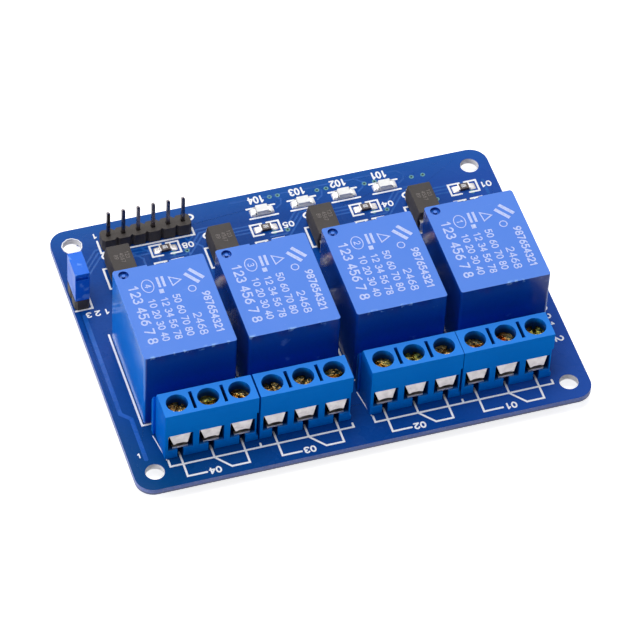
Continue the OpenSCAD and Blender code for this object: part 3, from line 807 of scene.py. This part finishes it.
for k, (r, o) in enumerate(zip(relays, optos)):
    p0, p1, p2 = poles[k]
    for sx, p in ((-6, p0), (6, p2)):
        under_track((r.x + sx, r.y - 7.3), (p, lead_y + 2.5), (p, lead_y), width=2.2, thick=0.010)
    under_track((r.x, r.y + 6.9), (r.x, r.y - 4), (p1, lead_y + 4), (p1, lead_y), width=2.6, thick=0.012)
    under_track((r.x - 6, r.y + 4.8), (r.x - 6, r.y + 12), (o.x - LEG_X, o.y - 3.8), width=0.7, thick=0.009)
    under_track((r.x + 6, r.y + 4.8), (r.x + 6, r.y + 13), (r.x + 8.4, r.y + 15.4), (r.x + 8.4, 20),
                width=0.7, thick=0.011)
    under_track((o.x - LEG_X, o.y + 3.8), (o.x - LEG_X, o.y + 7), (o.x - 5, o.y + 9.4),
                width=0.35, thick=0.010)
    under_track((o.x + LEG_X, o.y + 3.8), (o.x + LEG_X, o.y + 6), (o.x + 4.5, o.y + 9.2),
                width=0.35, thick=0.010)
under_track((-35.5, 19), (-33, 21.5), (33, 21.5), (35.5, 19), (35.5, 2), width=1.2, thick=0.014)
make("board_tracks_under", tracks, "board", trace_mat.mat)

# vias: a ring of masked copper, and a dark disc of painted shade for the hole
rings, dots = bmesh.new(), bmesh.new()
via_places = []
for k in CHANNELS:
    x = chips_hi.x - CHIP_W / 2 - k * chip_step
    via_places += [(x + 1.15, chip_row - 1.2), (x + 3.4 if k else x - 5.1, chip_row - 1.25)]
    lx, ly = lamps[k]
    far = ly + 2.9 - 0.65 * (3 - k)
    via_places += [(lx + 2.2 + 0.95 * (3 - k), far), (lx + 3.6 + 1.15 * (3 - k), far)]
for x, y in via_places:
    for side, z in ((1, top), (-1, under)):
        profile = [(0.42, 0), (0.40, 0.02), (0.23, 0.024), (0.17, 0.004)]
        lathe(rings, x, y, [(r, z + side * h) for r, h in profile], 14)
        lathe(dots, x, y, [(0.185, z + side * 0.012), (0, z + side * 0.011)], 12)
make("via_rings", rings, "board", via_mat.mat, smooth=40)
make("via_holes", dots, "board", hole_mat.mat)

# ---------------------------------------------------------------- solder

joints = bmesh.new()


def joint(x, y, pad, wire, height, oval=1.0):
    """A fillet on the solder side, from the pad up the lead, and a thin collar on the component side."""
    skirt = pad - wire
    fillet = [(pad, 0), (pad * 0.97, 0.05), (pad * 0.72, 0.22 * height), (wire + 0.28 * skirt, 0.5 * height),
              (wire + 0.08 * skirt, 0.8 * height), (wire * 0.9, height), (0, height + 0.03)]
    lathe(joints, x, y, [(r, under - h) for r, h in fillet], 14, oval, wobble=0.02)
    collar = [(pad * 0.8, 0), (pad * 0.78, 0.03), (wire * 1.05, 0.08), (wire * 0.9, 0.02)]
    lathe(joints, x, y, [(r, top + h) for r, h in collar], 12)


for r in relays:
    for sx, y in ((-6, 4.8), (6, 4.8), (0, 6.9), (-6, -7.3), (6, -7.3)):
        joint(r.x + sx, r.y + y, 1.25, 0.5, 1.25)
for k in CHANNELS:
    for x in poles[k]:
        joint(x, lead_y, 1.35, 0.6, 1.3, 1.1)
    for sx in (-LEG_X, LEG_X):
        for sy in (-3.81, 3.81):
            joint(optos[k].x + sx, optos[k].y + sy, 0.78, 0.3, 1.0)
for x in header_x:
    joint(x, (header_lo.y + header_hi.y) / 2, 0.85, 0.42, 1.1)
for s in (-PIN / 2, PIN / 2):
    joint(jumper.x, jumper.y + s, 0.85, 0.42, 1.1)
make("solder_joints", joints, "board", solder_mat.mat, smooth=50)

surface = bmesh.new()
caps = bmesh.new()
caps_round, bands = bmesh.new(), bmesh.new()


def lathe_x(bm, x, y, z, radius, length, steps=24):
    """A short tube on an axis along X."""
    cut, end = 0.03, length / 2
    profile = ((-end, radius - cut), (cut - end, radius), (end - cut, radius), (end, radius - cut))
    angles = [2 * math.pi * i / steps for i in range(steps)]
    rings = []
    for dx, r in profile:
        rings.append([bm.verts.new((x + dx, y + r * math.cos(a), z + r * math.sin(a))) for a in angles])
    for a, b in zip(rings, rings[1:]):
        for i in range(steps):
            j = (i + 1) % steps
            bm.faces.new((a[i], a[j], b[j], b[i]))
    bm.faces.new(rings[0])
    bm.faces.new(rings[-1])


for k in CHANNELS:
    x = chips_hi.x - CHIP_W / 2 - k * chip_step
    for row, y in enumerate((chip_row, chip_near)):
        if row == 1 and chips != "chip_resistors":
            continue
        cx = x - (0.1 if row else 0)
        for s in (-1, 1):
            pillow(surface, cx + s * 1.42, y, top + 0.002, 1.2, 1.42, 0.20, slope=(-0.45 * s, 0), power=8)
            c0, c1 = sorted((cx + s * 0.80, cx + s * (CHIP_W / 2 + 0.02)))
            bar(caps, c0, y - CHIP_D / 2 - 0.015, c1, y + CHIP_D / 2 + 0.015, top + 0.01, CHIP_H + 0.005)
lamp_ends = bmesh.new()
for x, y in lamps:
    for s in (-1, 1):
        pillow(lamp_ends, x + s * 1.55, y, top + 0.002, 1.1, 1.5, 0.56, slope=(-0.35 * s, 0), power=6)
diodes_lo, diodes_hi = box("flyback_diodes")
DIODE_L = 3.6
for k in CHANNELS:
    x = diodes_hi.x - DIODE_L / 2 - k * (diodes_hi.x - diodes_lo.x - DIODE_L) / 3
    y = (diodes_lo.y + diodes_hi.y) / 2
    for s in (-1, 1):
        pillow(surface, x + s * 2.0, y, top + 0.002, 1.2, 1.9, 0.5, slope=(-0.4 * s, 0))
        lathe_x(caps_round, x + s * (DIODE_L / 2 - 0.24), y, diodes_lo.z + 0.75, 0.77, 0.5)
    lathe_x(bands, x - 0.55, y, diodes_lo.z + 0.75, 0.757, 0.35)
make("surface_solder", surface, "board", solder_mat.mat, smooth=60)
make("lamp_solder", lamp_ends, "board", lamp_solder.mat, smooth=60)
make("resistor_caps", caps, "board", solder_mat.mat)
make("diode_caps", caps_round, "board", solder_mat.mat, smooth=40)
make("diode_bands", bands, "board", band_mat.mat, smooth=40)

# ---------------------------------------------------------------- relays: rounded cases and generic print

CASE_Z = relay_hi.z
SINK = 0.03  # the roof lies this much lower, so that the print stays under the CAD roof
for k in CHANNELS:
    name = f"relay_case_{k + 1}"
    bm = bmesh.new()
    bm.from_mesh(nodes[name].data)
    bm.transform(Matrix.Scale(1 / MM, 4))
    bmesh.ops.remove_doubles(bm, verts=bm.verts, dist=0.002)
    bmesh.ops.dissolve_limit(bm, angle_limit=math.radians(1), verts=bm.verts, edges=bm.edges)
    for v in bm.verts:
        if v.co.z > CASE_Z - 0.01:
            v.co.z -= SINK
    # the long edges of the roof roll over softly, the other edges are crisp
    weight = bm.edges.layers.float.new("bevel_weight_edge")
    x0, x1 = relays[k].x - relay_w / 2, relays[k].x + relay_w / 2
    y0, y1 = relays[k].y - relay_l / 2, relays[k].y + relay_l / 2
    for e in bm.edges:
        if len(e.link_faces) != 2 or e.calc_face_angle(0) < math.radians(35):
            continue
        mid = (e.verts[0].co + e.verts[1].co) / 2
        on_rim = min(v.co.z for v in e.verts) > CASE_Z - SINK - 0.02
        to_side = min(mid.x - x0, x1 - mid.x)
        to_end = min(mid.y - y0, y1 - mid.y)
        if on_rim and to_side < 0.44 and (to_side < 0.02 or to_end < 0.44):
            e[weight] = 1 - 0.75 * min(1, to_side / 0.4)
        elif on_rim and to_end < 0.02:
            e[weight] = 0.25
        else:
            e[weight] = 0.12
    shell = make(f"relay_shell_{k + 1}", bm, "board", case_mat.mat, smooth=25, hides=(name,))
    b = shell.modifiers.new("round", "BEVEL")
    b.width, b.segments, b.limit_method = 0.5 * MM, 4, "WEIGHT"
    b.harden_normals = True

    art = bmesh.new()
    z = CASE_Z - SINK - 0.01  # strokes are 0.025 thick

    def row(text, across, start, height, pen, squeeze=1.08):
        """Numerals that read from the far edge to the near edge."""
        number(art, text, (x0 + across, y1 - start), (0, -1), height, pen, z, squeeze=squeeze, gap=0.24)

    def mark(*places, pen, **options):
        stroke(art, [(x0 + a, y1 - b_) for a, b_ in places], pen, z, **options)

    row("123 456 7 8", 1.62, 3.95, 1.42, 0.27, 1.12)
    row("10 20 30 40", 3.9, 7.35, 1.05, 0.20)
    row("12 34 56 78", 5.92, 7.5, 1.05, 0.20)
    row("50 60 70 80", 7.92, 7.3, 1.05, 0.20)
    row("2468", 9.97, 11.85, 1.18, 0.19, 1.24)
    row("987654321", 12.57, 7.95, 1.12, 0.24, 1.06)
    stroke(art, arc(x0 + 4.65, y1 - 4.45, 0.95, 1.35, 0, 345, 28), 0.15, z, closed=True)
    number(art, str(k + 1), (x0 + 4.2, y1 - 4.15), (0, -1), 0.95, 0.16, z, squeeze=1.1)
    for j in (0, 1):
        mark((6.5 + 0.8 * j, 3.0), (6.5 + 0.8 * j, 5.2), pen=0.42, round_ends=False)
    mark((6.5, 5.6), (6.5, 6.45), pen=0.75, round_ends=False)
    mark((8.35, 3.45), (10.1, 4.45), (8.55, 5.35), pen=0.2, closed=True)
    for j in (0, 1):
        across, start = 10.95 + 0.95 * j, 3.4 - 0.75 * j
        mark((across, start), (across + 1.8, start + 2.35), pen=0.62, round_ends=False)
    stroke(art, arc(x0 + 11.3, y1 - 6.75, 0.6, 0.62, 0, 345, 22), 0.17, z, closed=True)
    make(f"relay_print_{k + 1}", art, "board", print_mat.mat)

# ---------------------------------------------------------------- small marks

marks = bmesh.new()
for o in optos:
    z = box("optocoupler_1")[1].z - 0.013
    for j, text in enumerate(("123", "4567", "89")):
        number(marks, text, (o.x + 0.75 - 0.95 * j, o.y + 1.5 - 0.2 * j), (0, -1), 0.62, 0.09, z)
make("package_marks", marks, "board", mark_mat.mat)

marks = bmesh.new()
for k in CHANNELS:
    x = chips_hi.x - CHIP_W / 2 - k * chip_step
    number(marks, "102", (x + 0.42, chip_row + 0.3), (-1, 0), 0.55, 0.09, chips_hi.z, gap=0.15, squeeze=0.7)
make("resistor_marks", marks, "board", ink.mat)

lenses = bmesh.new()
for x, y in lamps:
    pillow(lenses, x, y, lamps_hi.z - 0.03, 1.5, 1.15, 0.028, power=6)
make("lamp_lenses", lenses, "board", lens_mat.mat, smooth=60)

# ---------------------------------------------------------------- floor, world and lights

floor_mesh = bpy.data.meshes.new("floor")
half = 6.0
floor_z = low * MM - 2e-5
corners = [(sx * half, sy * half, floor_z) for sx, sy in ((-1, -1), (1, -1), (1, 1), (-1, 1))]
floor_mesh.from_pydata(corners, [], [(0, 1, 2, 3)])
floor = bpy.data.objects.new("floor", floor_mesh)
scene.collection.objects.link(floor)
fm = bpy.data.materials.new("floor")
fm.use_nodes = True
t = fm.node_tree
t.nodes.clear()
out = t.nodes.new("ShaderNodeOutputMaterial")
diffuse = t.nodes.new("ShaderNodeBsdfDiffuse")
diffuse.inputs["Color"].default_value = (0.72, 0.72, 0.725, 1)
glow = t.nodes.new("ShaderNodeEmission")
add = t.nodes.new("ShaderNodeAddShader")
path = t.nodes.new("ShaderNodeLightPath")


def any_of(tree, lp):
    a = tree.nodes.new("ShaderNodeMath")
    a.operation = "MAXIMUM"
    b = tree.nodes.new("ShaderNodeMath")
    b.operation = "MAXIMUM"
    tree.links.new(lp.outputs["Is Camera Ray"], a.inputs[0])
    tree.links.new(lp.outputs["Is Glossy Ray"], a.inputs[1])
    tree.links.new(a.outputs[0], b.inputs[0])
    tree.links.new(lp.outputs["Is Transmission Ray"], b.inputs[1])
    return b.outputs[0]


# white to the camera and in reflections; the floor's own colour carries the shadow
SEEN, MIRRORED = 0.82, 0.40


def scaled(tree, value, factor):
    n = tree.nodes.new("ShaderNodeMath")
    n.operation = "MULTIPLY"
    tree.links.new(value, n.inputs[0])
    n.inputs[1].default_value = factor
    return n.outputs[0]


def added(tree, a, b):
    n = tree.nodes.new("ShaderNodeMath")
    tree.links.new(a, n.inputs[0])
    tree.links.new(b, n.inputs[1])
    return n.outputs[0]


mirrored = added(t, path.outputs["Is Glossy Ray"], path.outputs["Is Transmission Ray"])
strength = added(t, scaled(t, path.outputs["Is Camera Ray"], SEEN), scaled(t, mirrored, MIRRORED))
t.links.new(strength, glow.inputs["Strength"])
t.links.new(diffuse.outputs[0], add.inputs[0])
t.links.new(glow.outputs[0], add.inputs[1])
t.links.new(add.outputs[0], out.inputs["Surface"])
floor_mesh.materials.append(fm)

SKY_MIRRORED = 0.8  # the sky is white to the camera and a little dimmer in reflections
world = bpy.data.worlds.new("world")
scene.world = world
world.use_nodes = True
t = world.node_tree
t.nodes.clear()
out = t.nodes.new("ShaderNodeOutputWorld")
white = t.nodes.new("ShaderNodeBackground")
white.inputs["Color"].default_value = (1, 1, 1, 1)
path = t.nodes.new("ShaderNodeLightPath")
mirrored = added(t, path.outputs["Is Glossy Ray"], path.outputs["Is Transmission Ray"])
strength = added(t, path.outputs["Is Camera Ray"], scaled(t, mirrored, SKY_MIRRORED))
t.links.new(strength, white.inputs["Strength"])
soft = t.nodes.new("ShaderNodeBackground")
coord = t.nodes.new("ShaderNodeTexCoord")
dot = t.nodes.new("ShaderNodeVectorMath")
dot.operation = "DOT_PRODUCT"
dot.inputs[1].default_value = Vector((-0.22, 0.62, 0.75)).normalized()
t.links.new(coord.outputs["Generated"], dot.inputs[0])
span = t.nodes.new("ShaderNodeMapRange")
span.inputs["From Min"].default_value = -0.35
span.inputs["From Max"].default_value = 0.95
span.inputs["To Min"].default_value = 0.05
span.inputs["To Max"].default_value = 0.60
t.links.new(dot.outputs["Value"], span.inputs["Value"])
t.links.new(span.outputs["Result"], soft.inputs["Strength"])
mixer = t.nodes.new("ShaderNodeMixShader")
t.links.new(any_of(t, path), mixer.inputs[0])
t.links.new(soft.outputs[0], mixer.inputs[1])
t.links.new(white.outputs[0], mixer.inputs[2])
t.links.new(mixer.outputs[0], out.inputs["Surface"])


def softbox(name, place, size, power, aim=(0, 0, 0.005)):
    data = bpy.data.lights.new(name, "AREA")
    data.shape = "SQUARE"
    data.size = size
    data.energy = power
    o = bpy.data.objects.new(name, data)
    o.location = place
    o.rotation_mode = "QUATERNION"
    o.rotation_quaternion = (Vector(aim) - Vector(place)).to_track_quat("-Z", "Y")
    scene.collection.objects.link(o)


softbox("softbox_over", (-0.10, 0.10, 0.85), 0.45, 4.2)
softbox("softbox_back", (0.05, 0.72, 0.70), 0.40, 1.4)
softbox("softbox_left", (-0.80, 0.05, 0.36), 0.40, 2.4)

scene.view_settings.view_transform = "Standard"
